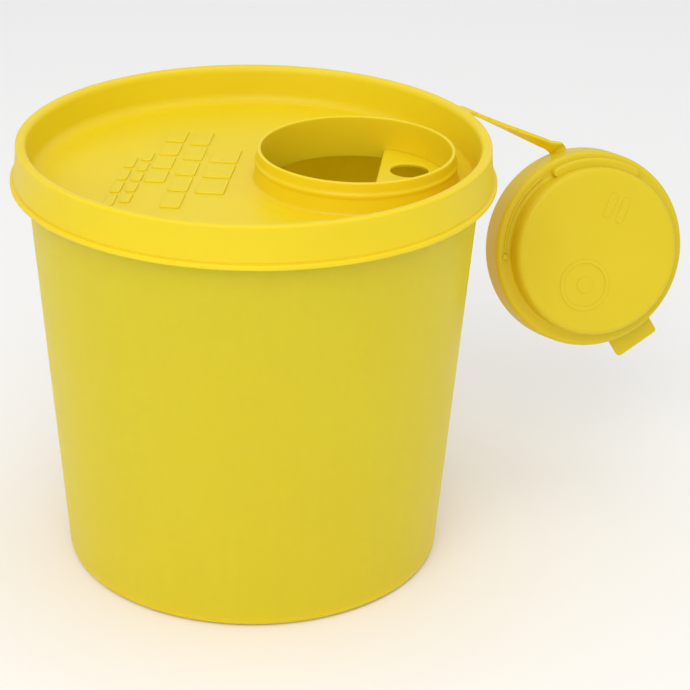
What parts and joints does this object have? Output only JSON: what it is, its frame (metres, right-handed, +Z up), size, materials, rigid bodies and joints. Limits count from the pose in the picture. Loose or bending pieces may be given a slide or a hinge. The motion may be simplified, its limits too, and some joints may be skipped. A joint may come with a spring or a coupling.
{
  "type": "sharps container",
  "caption": "Round tapered sharps bucket with a press-on lid, an off-centre collar over a bridged opening, and a hollow cap hanging from the rim on a moulded strap.",
  "frame": {"origin": "on the bucket's axis, on the plane its base stands on", "axes": "+Z up; +X from the bucket's axis towards the collar's axis"},
  "size_m": [0.2085, 0.148, 0.1364],
  "materials": {
    "bucket_plastic": "semi-matt moulded polypropylene",
    "lid_plastic": "semi-matt moulded polypropylene",
    "cap_plastic": "semi-matt moulded polypropylene"
  },
  "bodies": {
    "bucket": {"bucket": "bucket_plastic"},
    "lid": {"lid": "lid_plastic"},
    "strap_1": {"strap_link_1": "lid_plastic"},
    "strap_2": {"strap_link_2": "lid_plastic"},
    "strap_3": {"strap_link_3": "lid_plastic"},
    "lug": {"cap_lug": "cap_plastic"},
    "cap": {"cap": "cap_plastic"}
  },
  "joints": [
    {"name": "lid_lift", "type": "slide", "parent": "bucket", "child": "lid", "axis": [0, 0, 1], "range_m": [0, 0.1]},
    {"name": "strap_fold", "type": "hinge", "parent": "lid", "child": "strap_1", "pos_m": [0.06439, 0.03961, 0.1357], "axis": [0.7803, -0.6189, 0.0901], "range_deg": [0, 117.69]},
    {"name": "strap_bend_1", "type": "hinge", "parent": "strap_1", "child": "strap_2", "pos_m": [0.0732, 0.0479, 0.12974], "axis": [0.8628, -0.4539, 0.2226], "range_deg": [0, 87.54]},
    {"name": "strap_bend_2", "type": "hinge", "parent": "strap_2", "child": "strap_3", "pos_m": [0.082, 0.05618, 0.12378], "axis": [0.8391, -0.2364, 0.4898], "range_deg": [0, 87.54]},
    {"name": "cap_turn", "type": "hinge", "parent": "strap_3", "child": "lug", "pos_m": [0.09081, 0.06446, 0.11782], "axis": [-0.2036, -0.5647, -0.7998], "range_deg": [0, 59.61]},
    {"name": "cap_press", "type": "slide", "parent": "lug", "child": "cap", "axis": [-0.3387, 0.906, -0.2538], "range_m": [0, 0.01065]}
  ],
  "couplings": [
    {"joint": "strap_bend_1", "follows": "strap_fold", "ratio": 0.74367},
    {"joint": "strap_bend_2", "follows": "strap_fold", "ratio": 0.74367},
    {"joint": "cap_turn", "follows": "strap_fold", "ratio": 0.50637}
  ]
}
